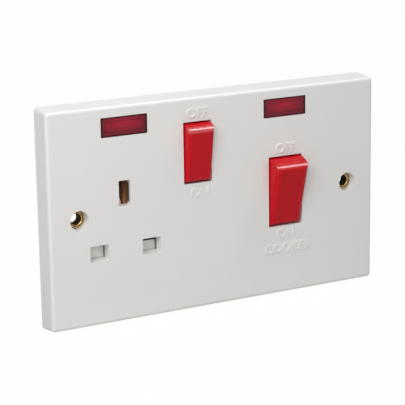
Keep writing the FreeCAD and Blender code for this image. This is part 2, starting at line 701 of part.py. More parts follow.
def socket_feed_link():
    feed_z = SUPPLY_Z - BLOCK_LENGTH / 2
    left = SWITCH_X - STRIP_W / 2
    right = SWITCH_X + STRIP_W / 2
    run = strip(left, LIVE_BLOCK_X - BLOCK_W / 2, feed_z - STRIP_W / 2, feed_z + STRIP_W / 2)
    riser = strip(left, right, feed_z - STRIP_W / 2, SWITCH_Z + CRADLE_H / 2)
    return joined([run, riser, cradle(SWITCH_X, SWITCH_Z)])


# Shutter

def shutter_levels():
    top = LINE_Z + LINE_SLOT_H / 2 + SHUTTER_LAP
    bottom = LINE_Z - LINE_SLOT_H / 2 - SHUTTER_LAP
    window_top = bottom + SHUTTER_LAP + LEDGE_H + SHUTTER_TRAVEL + SPRING_ROOM
    return top, bottom, window_top


def shutter():
    top, bottom, window_top = shutter_levels()
    half = PIN_PITCH / 2 + LINE_SLOT_W / 2 + SHUTTER_LAP
    blades = box(SOCKET_X - half, SOCKET_X + half, SHUTTER_Y, SHUTTER_REAR_Y, bottom, top)
    spine_top = window_top + SHUTTER_T
    spine = box(SOCKET_X - SPINE_W / 2, SOCKET_X + SPINE_W / 2, SHUTTER_Y, SHUTTER_REAR_Y,
                bottom - SHUTTER_T, spine_top)
    window_low = bottom + SHUTTER_LAP - KEEPER_GAP
    opening = box(SOCKET_X - SPRING_WINDOW_W / 2, SOCKET_X + SPRING_WINDOW_W / 2,
                  SHUTTER_Y - OVERCUT, SHUTTER_REAR_Y + OVERCUT, window_low, window_top)
    ramp_top = EARTH_Z + EARTH_PIN_H / 2
    ramp_low = ramp_top - EARTH_PIN_H - 2 * SHUTTER_T
    depth = (ramp_top - ramp_low) * RAMP_SLOPE
    ramp = side_profile([(SHUTTER_Y, spine_top - SHUTTER_T), (SHUTTER_Y, ramp_low),
                         (SHUTTER_Y + depth, ramp_top), (SHUTTER_Y + depth, ramp_top - RAMP_T),
                         (SHUTTER_REAR_Y, ramp_low - RAMP_T + SHUTTER_T / RAMP_SLOPE),
                         (SHUTTER_REAR_Y, spine_top - SHUTTER_T)],
                        SOCKET_X - RAMP_W / 2, SOCKET_X + RAMP_W / 2)
    drop = box(SOCKET_X + SPINE_W / 2, SOCKET_X + half, SHUTTER_Y, SHUTTER_REAR_Y,
               top - LIVE_BLADE_DROP, top)
    return joined([blades.cut(drop), spine, ramp]).cut(opening)


def shutter_spring():
    window_top = shutter_levels()[2]
    ledge_top = LINE_Z - LINE_SLOT_H / 2 + LEDGE_H
    length = window_top - ledge_top - 2 * SPRING_END_GAP
    middle_y = (SHUTTER_Y + SHUTTER_REAR_Y) / 2
    return helix_spring(SOCKET_X, middle_y, ledge_top + SPRING_END_GAP, SHUTTER_SPRING_R,
                        SHUTTER_WIRE_R, length, Vector(0, 0, 1))


# Rear housing

def lug_notch(wall):
    left = HOUSING_LEFT - EAR_REACH
    points = [(left, HOUSING_FRONT_Y), (NOTCH_X + wall, HOUSING_FRONT_Y),
              (NOTCH_X + wall, HOUSING_FRONT_Y + NOTCH_STRAIGHT), (NOTCH_REAR_X + wall, REAR_Y),
              (left, REAR_Y)]
    outline = Part.makePolygon([Vector(x, y, NOTCH_BOTTOM - wall) for x, y in points + points[:1]])
    return Part.Face(outline).extrude(Vector(0, 0, NOTCH_TOP - NOTCH_BOTTOM + 2 * wall))


def housing_outline(inset, notch_wall):
    shell = box(HOUSING_LEFT + inset, HOUSING_RIGHT - inset, HOUSING_FRONT_Y, REAR_Y,
                HOUSING_BOTTOM + inset, HOUSING_TOP - inset)
    return shell.cut(lug_notch(notch_wall))


def outer_corners(shape):
    walls = (HOUSING_LEFT, HOUSING_RIGHT)
    return [e for e in edges_along_y(shape)
            if all(min(abs(v.X - x) for x in walls) < 1e-6 for v in e.Vertexes)]


def post(x0, x1, z0, z1, front):
    return box(x0 + POST_INSET, x1 - POST_INSET, front, BACK_Y, z0 + POST_INSET, z1 - POST_INSET)


def housing_posts():
    strip_rear = STRIP_Y + STRIP_T
    link_rear = LINK_Y + LINK_T
    half_arm = ARM_W / 2
    half_cradle = CRADLE_H / 2
    half_clip = LINE_GAP + CLIP_T
    tip_z = SWITCH_Z + CONTACT_RISE
    riser_x = switch_riser_x()
    outer = EARTH_LEAF_X + CLIP_T
    posts = []
    for pole_x in (COOKER_LIVE_X, COOKER_NEUTRAL_X):
        for z in (COOKER_Z, COOKER_Z + CONTACT_RISE):
            posts.append(post(pole_x - half_arm, pole_x + half_arm, z - half_cradle, z + half_cradle,
                              strip_rear))
    for z in (SWITCH_Z, tip_z):
        posts.append(post(SWITCH_X - half_arm, SWITCH_X + half_arm, z - half_cradle, z + half_cradle,
                          strip_rear))
    posts.append(post(riser_x, riser_x + STRIP_W, LINE_Z - half_clip, LINE_Z + half_clip, strip_rear))
    posts.append(post(riser_x, riser_x + STRIP_W, NEON_TAB_Z - STRIP_W / 2, NEON_TAB_Z + STRIP_W / 2,
                      strip_rear))
    posts.append(post(NEUTRAL_X - CLIP_W / 2, NEUTRAL_X + CLIP_W / 2, LINE_Z - half_clip,
                      LINE_Z + half_clip, link_rear))
    posts.append(post(SOCKET_X - outer, SOCKET_X + outer, EARTH_Z - CLIP_EARTH_H / 2,
                      EARTH_Z + CLIP_EARTH_H / 2, link_rear))
    return posts


def housing_ribs():
    barrier = box(COOKER_X - BARRIER_T / 2, COOKER_X + BARRIER_T / 2, BARRIER_Y, BACK_Y,
                  HOUSING_BOTTOM + HOUSING_WALL, HOUSING_TOP - HOUSING_WALL)
    keepers = [box(SOCKET_X + side * KEEPER_X - KEEPER_T / 2, SOCKET_X + side * KEEPER_X + KEEPER_T / 2,
                   SHUTTER_REAR_Y + KEEPER_GAP, BACK_Y, HOUSING_BOTTOM + HOUSING_WALL,
                   LINE_Z + LINE_SLOT_H / 2) for side in (-1, 1)]
    return [barrier] + keepers


def roomy(shape_box):
    room = STRIP_ROOM
    b = shape_box.BoundBox
    return box(b.XMin - room, b.XMax + room, b.YMin - room, b.YMax + room, b.ZMin - room, b.ZMax + room)


def ear(x, z):
    wall_x = HOUSING_LEFT + HOUSING_WALL / 2 if x < 0 else HOUSING_RIGHT - HOUSING_WALL / 2
    rear = HOUSING_FRONT_Y + EAR_T
    tab = box(min(x, wall_x), max(x, wall_x), HOUSING_FRONT_Y, rear, z - EAR_R, z + EAR_R)
    return joined([tab, rod_y(x, z, EAR_R, HOUSING_FRONT_Y, rear)])


def rear_housing():
    inner = housing_outline(HOUSING_WALL, NOTCH_WALL)
    inner = inner.common(box(HOUSING_LEFT, HOUSING_RIGHT, HOUSING_FRONT_Y, BACK_Y,
                             HOUSING_BOTTOM, HOUSING_TOP))
    outer = housing_outline(0, 0)
    outer = outer.makeFillet(HOUSING_EDGE_R, outer_corners(outer))
    outer = outer.makeFillet(HOUSING_EDGE_R / 2, edges_at_y(outer, REAR_Y))
    places = terminal_screw_places()
    shroud_r = SCREW_ACCESS_R + SHROUD_T
    solids = [outer.cut(inner)] + housing_posts() + housing_ribs() + [ear(x, z) for x, z in EARS]
    solids += [rod_y(x, z, shroud_r, REAR_Y - HOUSING_WALL / 2, REAR_Y + SHROUD_H) for x, z in places]
    cuts = [rod_y(x, z, SCREW_ACCESS_R, BACK_Y, REAR_Y + SHROUD_H) for x, z in places]
    cuts.append(box(PANEL_X - PANEL_W / 2, PANEL_X + PANEL_W / 2, REAR_Y - PANEL_DEPTH, REAR_Y,
                    PANEL_Z - PANEL_H / 2, PANEL_Z + PANEL_H / 2))
    for x in (LIVE_BLOCK_X, NEUTRAL_BLOCK_X):
        cuts.append(rod_z(x, BORE_Y, CABLE_ENTRY_R, HOUSING_BOTTOM, HOUSING_BOTTOM + HOUSING_WALL))
    for x in [LIVE_BLOCK_X, NEUTRAL_BLOCK_X] + earth_bores():
        cuts.append(rod_z(x, BORE_Y, CABLE_ENTRY_R, HOUSING_TOP - HOUSING_WALL, HOUSING_TOP))
    for x, z in EARS:
        cuts.append(rod_y(x, z, HOUSING_SCREW_R + SCREW_GAP, HOUSING_FRONT_Y, HOUSING_FRONT_Y + EAR_T))
    run_top = SUPPLY_Z + LINK_W
    cuts.append(roomy(link(NEUTRAL_X + CLIP_W / 2, NEUTRAL_BLOCK_X, SUPPLY_Z, run_top)))
    cuts.append(roomy(neutral_neon_tab(SUPPLY_Z, NEON_TAB_Z)))
    for neon_x in (SOCKET_NEON_X, COOKER_NEON_X):
        cuts.append(roomy(holder_block(neon_x)))
    return joined(solids).cut(Part.makeCompound(cuts)).removeSplitter()


def housing_screw(x, z):
    head_y = HOUSING_FRONT_Y + EAR_T
    shank = rod_y(x, z, HOUSING_SCREW_R, HOUSING_FRONT_Y - HOUSING_SCREW_BITE, head_y)
    head = rod_y(x, z, HOUSING_HEAD_R, head_y, head_y + HOUSING_HEAD_T)
    head = head.makeFillet(HOUSING_HEAD_T / 2, edges_at_y(head, head_y + HOUSING_HEAD_T))
    floor = head_y + HOUSING_HEAD_T / 3
    half = RECESS_W / 2
    cross = [box(x - CROSS_REACH, x + CROSS_REACH, floor, floor + HOUSING_HEAD_T, z - half, z + half),
             box(x - half, x + half, floor, floor + HOUSING_HEAD_T, z - CROSS_REACH, z + CROSS_REACH)]
    return joined([shank, head]).cut(joined(cross))


# Neon indicators

def neon_lead_reach():
    return LAMP_LENGTH / 2 + LEAD_REACH


def neon_lens(x):
    half_w = NEON_W / 2 - LENS_GAP
    half_h = NEON_H / 2 - LENS_GAP
    front = FACE_Y + LENS_RECESS
    plug = box(x - half_w, x + half_w, front, LENS_LIP_Y, NEON_Z - half_h, NEON_Z + half_h)
    plug = plug.makeFillet(MOUTH_R, edges_along_y(plug))
    plug = plug.makeChamfer(LENS_BEVEL, edges_at_y(plug, front))
    lip = box(x - half_w - LENS_LIP_W, x + half_w + LENS_LIP_W, INNER_Y, LENS_LIP_Y,
              NEON_Z - half_h - LENS_LIP_H, NEON_Z + half_h + LENS_LIP_H)
    hollow = box(x - half_w + LENS_WALL, x + half_w - LENS_WALL, front + LENS_FRONT_T, LENS_LIP_Y,
                 NEON_Z - half_h + LENS_WALL, NEON_Z + half_h - LENS_WALL)
    return joined([plug, lip]).cut(hollow)


def holder_size():
    half_w = NEON_W / 2 + LENS_LIP_W + HOLDER_WALL
    half_h = NEON_H / 2 + LENS_LIP_H + HOLDER_WALL
    return half_w, half_h


def holder_block(x):
    half_w, half_h = holder_size()
    return box(x - half_w, x + half_w, INNER_Y, INNER_Y + HOLDER_DEPTH, NEON_Z - half_h, NEON_Z + half_h)


def neon_holder(x, down_z):
    half_w, half_h = holder_size()
    seat = box(x - half_w + HOLDER_WALL, x + half_w - HOLDER_WALL, INNER_Y, LENS_LIP_Y + SCREW_GAP,
               NEON_Z - half_h + HOLDER_WALL, NEON_Z + half_h - HOLDER_WALL)
    step = 2 * HOLDER_WALL
    room = box(x - half_w + step, x + half_w - step, INNER_Y, INNER_Y + HOLDER_DEPTH - HOLDER_WALL,
               NEON_Z - half_h + HOLDER_WALL + LENS_LIP_H, NEON_Z + half_h - HOLDER_WALL - LENS_LIP_H)
    exit_r = LEAD_R + LEAD_ROOM
    exits = []
    for lead_x in (x - neon_lead_reach(), x + neon_lead_reach()):
        exits.append(rod_z(lead_x, LEAD_Y, exit_r, NEON_Z - half_h, NEON_Z))
        exits.append(rod_y(lead_x, down_z, exit_r, LEAD_Y, INNER_Y + HOLDER_DEPTH))
    return holder_block(x).cut(Part.makeCompound([seat, room] + exits))


def neon_lamp(x):
    glass = rod_x(LAMP_Y, NEON_Z, LAMP_R, x - LAMP_LENGTH / 2, x + LAMP_LENGTH / 2)
    return glass.makeFillet(LAMP_END_R, rims(glass))


def lead_route(x, side, down_z, end_y):
    lead_x = x + side * neon_lead_reach()
    start = Vector(x + side * LAMP_LENGTH / 2, LAMP_Y, NEON_Z)
    return [start, Vector(lead_x, LAMP_Y, NEON_Z), Vector(lead_x, LEAD_Y, NEON_Z),
            Vector(lead_x, LEAD_Y, down_z), Vector(lead_x, end_y, down_z)]


def neon_leads(x, down_z, left_end, right_end):
    right = lead_route(x, 1, down_z, LEAD_Y + RESISTOR_SETBACK)
    last = right[-1]
    tail_start = Vector(last.x, last.y + RESISTOR_LENGTH, last.z)
    tail = rod_y(last.x, last.z, LEAD_R, tail_start.y, right_end)
    return [wire_tube(lead_route(x, -1, down_z, left_end), LEAD_R, LEAD_BEND_R),
            wire_tube(right, LEAD_R, LEAD_BEND_R), tail]


def neon_resistor(x, down_z):
    lead_x = x + neon_lead_reach()
    start = LEAD_Y + RESISTOR_SETBACK
    body = rod_y(lead_x, down_z, RESISTOR_R, start, start + RESISTOR_LENGTH)
    return body.makeFillet(RESISTOR_END_R, rims(body))


# All nodes by name

def group(solids):
    return Part.makeCompound(solids)


def build():
    load_lead_z = LOAD_Z + BLOCK_LENGTH / 2
    nodes = {
        "front_plate": front_plate(),
        "rear_housing": rear_housing(),
        "housing_screws": group([housing_screw(x, z) for x, z in EARS]),
        "left_eyelet": eyelet(-FIX_SPACING / 2),
        "right_eyelet": eyelet(FIX_SPACING / 2),
        "eyelet_earth_strap": eyelet_earth_strap(),
        "live_supply_terminal": supply_terminal(LIVE_BLOCK_X, COOKER_LIVE_X),
        "neutral_supply_terminal": supply_terminal(NEUTRAL_BLOCK_X, COOKER_NEUTRAL_X),
        "live_load_terminal": load_terminal(LIVE_BLOCK_X, COOKER_LIVE_X),
        "neutral_load_terminal": load_terminal(NEUTRAL_BLOCK_X, COOKER_NEUTRAL_X),
        "earth_terminal": earth_terminal(),
        "terminal_screws": group([terminal_screw(x, z) for x, z in terminal_screw_places()]),
        "live_pin_contact": live_pin_contact(),
        "neutral_pin_contact": neutral_pin_contact(),
        "earth_pin_contact": earth_pin_contact(),
        "socket_feed_link": socket_feed_link(),
        "shutter": shutter(),
        "shutter_spring": shutter_spring(),
        "cooker_rocker": rocker(COOKER_X, COOKER_Z, COOKER_APERTURE_W, COOKER_APERTURE_H, COOKER_FACE,
                                COOKER_EDGE_R, COOKER_TILT, [COOKER_LIVE_X, COOKER_NEUTRAL_X]),
        "socket_rocker": rocker(SWITCH_X, SWITCH_Z, SWITCH_APERTURE_W, SWITCH_APERTURE_H, SWITCH_FACE,
                                SWITCH_EDGE_R, SWITCH_TILT, [SWITCH_X]),
    }
    poles = {
        "cooker_live": (COOKER_LIVE_X, COOKER_Z, COOKER_TILT),
        "cooker_neutral": (COOKER_NEUTRAL_X, COOKER_Z, COOKER_TILT),
        "socket": (SWITCH_X, SWITCH_Z, SWITCH_TILT),
    }
    for name, (x, z, tilt) in poles.items():
        nodes[name + "_plunger"] = plunger(x, z, tilt)
        nodes[name + "_plunger_spring"] = plunger_spring(x, z, tilt)
        nodes[name + "_moving_contact"] = moving_contact(x, z)
        nodes[name + "_moving_tip"] = moving_tip(x, z)
        nodes[name + "_fixed_tip"] = fixed_tip(x, z)
    neons = {
        "socket_neon": (SOCKET_NEON_X, NEON_TAB_Z, LINK_Y, STRIP_Y),
        "cooker_neon": (COOKER_NEON_X, load_lead_z, STRIP_Y, STRIP_Y),
    }
    for name, (x, down_z, left_end, right_end) in neons.items():
        nodes[name + "_lens"] = neon_lens(x)
        nodes[name + "_holder"] = neon_holder(x, down_z)
        nodes[name + "_lamp"] = neon_lamp(x)
        nodes[name + "_leads"] = group(neon_leads(x, down_z, left_end, right_end))
        nodes[name + "_resistor"] = neon_resistor(x, down_z)
    return nodes


def main():
    os.makedirs("parts", exist_ok=True)
    for name, shape in build().items():
        sound = shape.isValid() and shape.Volume > 0
        print(name, len(shape.Solids), round(shape.Volume, 2), "sound" if sound else "NOT SOUND")
        shape.exportStep("parts/" + name + ".step")


if __name__ == "__main__":
    main()
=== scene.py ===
import json
import math

import bpy
from mathutils import Matrix, Vector


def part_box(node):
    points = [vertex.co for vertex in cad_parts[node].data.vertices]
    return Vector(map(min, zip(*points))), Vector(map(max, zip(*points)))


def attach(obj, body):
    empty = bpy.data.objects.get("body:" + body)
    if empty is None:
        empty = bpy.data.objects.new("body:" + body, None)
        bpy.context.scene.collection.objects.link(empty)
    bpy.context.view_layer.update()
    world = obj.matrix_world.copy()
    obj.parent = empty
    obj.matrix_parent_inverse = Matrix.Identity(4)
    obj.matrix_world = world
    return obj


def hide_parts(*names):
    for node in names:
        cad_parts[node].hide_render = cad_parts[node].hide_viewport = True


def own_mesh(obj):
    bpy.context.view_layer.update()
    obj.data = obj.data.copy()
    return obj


# Cooker control unit: a cooker switch and a switched socket on one white plate.
# Metres, in the part's own frame: +Z up, the face towards -Y, +X to the right seen from the front.

MM = 0.001

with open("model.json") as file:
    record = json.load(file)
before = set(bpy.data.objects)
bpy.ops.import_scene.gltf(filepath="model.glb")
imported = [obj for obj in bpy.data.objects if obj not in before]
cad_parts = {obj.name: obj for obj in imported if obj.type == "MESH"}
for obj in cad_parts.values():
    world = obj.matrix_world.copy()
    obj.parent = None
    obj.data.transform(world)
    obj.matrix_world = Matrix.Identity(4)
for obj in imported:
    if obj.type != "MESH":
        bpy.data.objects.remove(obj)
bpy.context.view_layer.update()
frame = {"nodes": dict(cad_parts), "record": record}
nodes = frame["nodes"]
node_slots = {part["node"]: part["material_slot"] for part in frame["record"]["subparts"]}
bpy.ops.object.select_all(action="DESELECT")

# The plate's face and lower edge, and the housing's back, which its screw shrouds rise above
SHROUD_RISE = 1.4 * MM
plate_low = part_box("front_plate")[0]
FACE_Y = plate_low.y
BOTTOM_Z = plate_low.z
REAR_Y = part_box("rear_housing")[1].y - SHROUD_RISE

# Photographer's view
IMAGE_PX = 405
FOCAL_PX = 1636.1
CENTRE_PX = (201.55, 205.37)
SENSOR_MM = 36.0
VIEW_AZIMUTH = -29.15
VIEW_ELEVATION = 13.66
VIEW_ROLL = -0.90
VIEW_DISTANCE = 648.5 * MM
VIEW_TARGET = Vector((-2.60, 1.9, -3.57)) * MM
NEAR_CLIP = 0.02
FAR_CLIP = 20.0

# Lamps: place, width, height, power in watts
KEY_LAMP = (Vector((-0.30, -0.32, 0.35)), 0.5, 0.5, 2.7)
TOP_LAMP = (Vector((0.42, -0.10, 0.79)), 0.22, 0.31, 2.55)
AMBIENT = 0.12
WHITE = (1, 1, 1, 1)

# Floor: its paint takes shadows, and what the camera sees of it is nearly white
FLOOR_SIZE = 6.0
FLOOR_GAP = 0.2 * MM
FLOOR_PAINT = (0.55, 0.55, 0.55, 1)
FLOOR_ROUGHNESS = 0.9
FLOOR_WHITENESS = 0.985

# Raised lettering on the plate, and on the housing's back beside the terminals
LETTER_RISE = 0.26 * MM
LETTER_SINK = 0.12 * MM
LETTER_EDGE = 0.10 * MM
LETTER_WEIGHT = 0.07 * MM
LETTER_EDGE_STEPS = 2
LETTER_H = 4.1 * MM
SOCKET_OFF_Z = 35.9 * MM
SOCKET_ON_Z = 4.6 * MM
SOCKET_ON_SHIFT = 0.8 * MM
COOKER_OFF_Z = 17.5 * MM
COOKER_ON_Z = -17.4 * MM
COOKER_WORD_Z = -23.4 * MM
COOKER_WORD_SHIFT = 1.2 * MM
REAR_LETTER_H = 4.0 * MM
REAR_LETTER_INSET = 14.0 * MM
BLOCK_HALF_W = 5.0 * MM

# Neon windows: how far the lens reaches behind the plate beyond its window
LENS_LIP_W = 1.2 * MM
LENS_LIP_H = 0.6 * MM

# Painted shade: a dark border of a lens at its ends and along its sides; and a thin dark line inside it:
# where each starts and ends, then how dark it is
LENS_END_BORDER = (0.45 * MM, 1.2 * MM, 1.0)
LENS_SIDE_BORDER = (0.15 * MM, 0.75 * MM, 0.95)
LENS_LINE_INSET = 1.75 * MM
LENS_LINE = (0.1 * MM, 0.35 * MM, 0.35)

# Painted light: a lighter middle of a lens, in half sizes of its window: how high it sits and where it
# fades
LENS_PAINTED_LIGHT_RISE = 0.3
LENS_PAINTED_LIGHT_FADE = (0.1, 1.1)

# Roughness of a lens, where its ripple is low and high
LENS_GLOSS = (0.10, 0.20)

# Recesses of the plate: how far their walls lie outside what fills them, then where
# the painted shade on those walls starts behind the face and how soon it is full
WALL_ROOM = 0.8 * MM
SHADE_BORDER = 0.2 * MM
SLOT_SHADE = (3.2 * MM, 1.0 * MM)
SLOT_LEDGE_ROOM = 0.05 * MM
EARTH_SHADE = (0.9 * MM, 0.6 * MM)
EARTH_LIP = 0.5 * MM
WINDOW_WALL_SHADE = (0.05 * MM, 0.3 * MM)
# Colours of that painted shade: dark grey in the line slots, dark brown on the earth slot's side walls,
# and dark red on the window walls, as if lit red by the lens
SLOT_PAINTED_SHADE = (0.10, 0.10, 0.09)
EARTH_PAINTED_SHADE = (0.022, 0.010, 0.004)
WINDOW_WALL_PAINTED_RED_SHADE = (0.20, 0.009, 0.018)

# Painted shade on the upper edge of the live shutter blade, where it stands in for a dark slit: its shade,
# from the shutter's front, and its half height
BLADE_SHADE = (-0.2 * MM, 0.1 * MM)
BLADE_EDGE = 0.1 * MM
BLADE_PAINTED_SHADE = (0.03, 0.03, 0.03)

# Painted light on the earth clip's leaves: a bright band behind the face where light reaches them, painted
# shade away from it, and how it fades and varies
LEAF_BAND_DEPTH = 4.6 * MM
LEAF_BAND_REACH = 1.9 * MM
LEAF_FADE = (0.1, 1.0)
LEAF_UNEVENNESS = 0.25
LEAF_GLOSS = (0.45, 0.6)

# Rings of the brass eyelets: turned rings in the bump, painted bright and dark in the colour as highlights
# and shade, with painted shade in the bore inside them
EYELET_BORE_R = 2.1 * MM
EYELET_RING_PITCH = 0.8 * MM
RING_WEAR = 0.5
RING_SOFTNESS = 0.8
RING_GLOSS = (0.2, 0.5)
BORE_FADE = (0.02 * MM, 0.15 * MM)
BORE_ROUGHNESS = 0.85

# Polished upper edge of each rocker: its reach and strength, then the share of the reach at full strength
POLISH = {"cooker_rocker": (1.2 * MM, 0.6), "socket_rocker": (1.8 * MM, 1.0)}
POLISH_FULL = 0.5

# Patterns in the finishes: scales per metre, and the range where most noise values lie
FLOW_SCALE = 55.0
CLOUD_SCALE = 260.0
STAIN_SCALE = 420.0
LEAF_STAIN_SCALE = 500.0
RIPPLE_SCALE = 900.0
DRAW_MARK_SCALE = 5200.0
DRAW_STRETCH = (1.0, 0.06, 1.0)
NOISE_RANGE = (0.3, 0.7)
FLOW_RANGE = (0.35, 0.7)
CLOUD_SWELL = 1.5
TARNISH_FADE = 0.22

# Coils and copied meshes: how copies and letters are merged and smoothed
MERGE_GAP = 0.002 * MM
SMOOTH_DEGREES = 35


def use_only(piece):
    bpy.ops.object.select_all(action="DESELECT")
    piece.select_set(True)
    bpy.context.view_layer.objects.active = piece


def middle_of(node):
    low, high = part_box(node)
    return (low + high) / 2


def half_size_of(node):
    low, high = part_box(node)
    return (high - low) / 2


# Shader helpers

def feed(tree, socket, value):
    if isinstance(value, (int, float, tuple)):
        socket.default_value = value
    else:
        tree.links.new(value, socket)


def group_with(name, inputs, outputs):
    tree = bpy.data.node_groups.new(name, "ShaderNodeTree")
    for kind, label, value in inputs:
        socket = tree.interface.new_socket(label, in_out="INPUT", socket_type=kind)
        socket.default_value = value
    for kind, label in outputs:
        tree.interface.new_socket(label, in_out="OUTPUT", socket_type=kind)
    return tree, tree.nodes.new("NodeGroupInput"), tree.nodes.new("NodeGroupOutput")


def noise(tree, vector, scale, detail=2.0, roughness=0.5):
    node = tree.nodes.new("ShaderNodeTexNoise")
    values = {"Vector": vector, "Scale": scale, "Detail": detail, "Roughness": roughness}
    for label, value in values.items():
        feed(tree, node.inputs[label], value)
    return node.outputs["Fac"]


def math_node(tree, operation, first, second=0.0):
    node = tree.nodes.new("ShaderNodeMath")
    node.operation = operation
    feed(tree, node.inputs[0], first)
    feed(tree, node.inputs[1], second)
    return node.outputs["Value"]


def spread(tree, value, low, high, to_low, to_high):
    node = tree.nodes.new("ShaderNodeMapRange")
    ends = {"Value": value, "From Min": low, "From Max": high, "To Min": to_low, "To Max": to_high}
    for label, end in ends.items():
        feed(tree, node.inputs[label], end)
    return node.outputs["Result"]


def spread_noise(tree, value, to_low, to_high):
    return spread(tree, value, *NOISE_RANGE, to_low, to_high)


def fading_out(tree, value, start, end, depth):
    return spread(tree, value, start, end, depth, 0.0)


def blend_colours(tree, share, first, second):
    node = tree.nodes.new("ShaderNodeMix")
    node.data_type = "RGBA"
    for label, value in (("Factor", share), ("A", first), ("B", second)):
        feed(tree, node.inputs[label], value)
    return node.outputs["Result"]


def placed_group(tree, group, values):
    node = tree.nodes.new("ShaderNodeGroup")
    node.node_tree = group
    for label, value in values.items():
        node.inputs[label].default_value = value
    return node


def moulded_skin_group():
    tree, given, out = group_with(
        "moulded_skin",
        [("NodeSocketColor", "Colour", (0.8, 0.8, 0.8, 1)),
         ("NodeSocketColor", "Flow Colour", (0.7, 0.7, 0.7, 1)),
         ("NodeSocketFloat", "Gloss Low", 0.25),
         ("NodeSocketFloat", "Gloss High", 0.4),
         ("NodeSocketFloat", "Grain Scale", 2500.0)],
        [("NodeSocketColor", "Colour"), ("NodeSocketFloat", "Roughness"), ("NodeSocketFloat", "Height")])
    place = tree.nodes.new("ShaderNodeTexCoord").outputs["Object"]
    flow = noise(tree, place, FLOW_SCALE, detail=4.0, roughness=0.6)
    cloud = noise(tree, place, CLOUD_SCALE, detail=3.0, roughness=0.55)
    grain = noise(tree, place, given.outputs["Grain Scale"])
    share = spread(tree, flow, *FLOW_RANGE, 0.0, 1.0)
    colour = blend_colours(tree, share, given.outputs["Colour"], given.outputs["Flow Colour"])
    rough = spread_noise(tree, cloud, given.outputs["Gloss Low"], given.outputs["Gloss High"])
    height = math_node(tree, "ADD", grain, math_node(tree, "MULTIPLY", cloud, CLOUD_SWELL))
    tree.links.new(colour, out.inputs["Colour"])
    tree.links.new(rough, out.inputs["Roughness"])
    tree.links.new(height, out.inputs["Height"])
    return tree


def worked_metal_group():
    tree, given, out = group_with(
        "worked_metal",
        [("NodeSocketColor", "Bright", (0.8, 0.7, 0.4, 1)),
         ("NodeSocketColor", "Tarnish", (0.3, 0.2, 0.1, 1)),
         ("NodeSocketFloat", "Tarnish Start", 0.45),
         ("NodeSocketFloat", "Gloss Low", 0.2),
         ("NodeSocketFloat", "Gloss High", 0.5)],
        [("NodeSocketColor", "Colour"), ("NodeSocketFloat", "Roughness"), ("NodeSocketFloat", "Height")])
    place = tree.nodes.new("ShaderNodeTexCoord").outputs["Object"]
    stain = noise(tree, place, STAIN_SCALE, detail=5.0, roughness=0.65)
    draw = tree.nodes.new("ShaderNodeMapping")
    draw.inputs["Scale"].default_value = DRAW_STRETCH
    tree.links.new(place, draw.inputs["Vector"])
    marks = noise(tree, draw.outputs["Vector"], DRAW_MARK_SCALE, roughness=0.6)
    over = math_node(tree, "SUBTRACT", stain, given.outputs["Tarnish Start"])
    share = spread(tree, over, 0.0, TARNISH_FADE, 0.0, 1.0)
    colour = blend_colours(tree, share, given.outputs["Bright"], given.outputs["Tarnish"])
    rough = spread(tree, share, 0.0, 1.0, given.outputs["Gloss Low"], given.outputs["Gloss High"])
    tree.links.new(colour, out.inputs["Colour"])
    tree.links.new(rough, out.inputs["Roughness"])
    tree.links.new(marks, out.inputs["Height"])
    return tree


def centred_axes(tree, middle):
    place = tree.nodes.new("ShaderNodeTexCoord").outputs["Object"]
    centred = tree.nodes.new("ShaderNodeVectorMath")
    centred.operation = "SUBTRACT"
    tree.links.new(place, centred.inputs[0])
    tree.links.new(middle, centred.inputs[1])
    axes = tree.nodes.new("ShaderNodeSeparateXYZ")
    tree.links.new(centred.outputs["Vector"], axes.inputs["Vector"])
    return place, axes.outputs


def radius_of(tree, first, second):
    squares = [math_node(tree, "MULTIPLY", value, value) for value in (first, second)]
    return math_node(tree, "SQRT", math_node(tree, "ADD", *squares))


# Colour of a neon lens: painted light in a lighter middle set high, painted shade in a dark border, and a
# thin dark line inside it
def window_shade_group():
    tree, given, out = group_with(
        "window_shade",
        [("NodeSocketVector", "Middle", (0, 0, 0)),
         ("NodeSocketFloat", "Half Width", 0.01),
         ("NodeSocketFloat", "Half Height", 0.004),
         ("NodeSocketColor", "Painted Light", (0.6, 0.02, 0.05, 1)),
         ("NodeSocketColor", "Body", (0.3, 0.01, 0.03, 1)),
         ("NodeSocketColor", "Border", (0.04, 0.002, 0.004, 1))],
        [("NodeSocketColor", "Colour"), ("NodeSocketFloat", "Roughness"), ("NodeSocketFloat", "Height")])
    place, axes = centred_axes(tree, given.outputs["Middle"])
    side = math_node(tree, "ABSOLUTE", axes["X"])
    rise = math_node(tree, "ABSOLUTE", axes["Z"])
    end_inset = math_node(tree, "SUBTRACT", given.outputs["Half Width"], side)
    long_inset = math_node(tree, "SUBTRACT", given.outputs["Half Height"], rise)
    inset = math_node(tree, "MINIMUM", end_inset, long_inset)
    across = math_node(tree, "DIVIDE", axes["X"], given.outputs["Half Width"])
    upward = math_node(tree, "DIVIDE", axes["Z"], given.outputs["Half Height"])
    away = radius_of(tree, across, math_node(tree, "SUBTRACT", upward, LENS_PAINTED_LIGHT_RISE))
    painted_light = fading_out(tree, away, *LENS_PAINTED_LIGHT_FADE, 1.0)
    edge = math_node(tree, "MAXIMUM", fading_out(tree, end_inset, *LENS_END_BORDER),
                     fading_out(tree, long_inset, *LENS_SIDE_BORDER))
    off_line = math_node(tree, "ABSOLUTE", math_node(tree, "SUBTRACT", inset, LENS_LINE_INSET))
    line = fading_out(tree, off_line, *LENS_LINE)
    ripple = noise(tree, place, RIPPLE_SCALE)
    red = blend_colours(tree, painted_light, given.outputs["Body"], given.outputs["Painted Light"])
    colour = blend_colours(tree, math_node(tree, "MAXIMUM", edge, line), red, given.outputs["Border"])
    tree.links.new(colour, out.inputs["Colour"])
    tree.links.new(spread_noise(tree, ripple, *LENS_GLOSS), out.inputs["Roughness"])
    tree.links.new(ripple, out.inputs["Height"])
    return tree
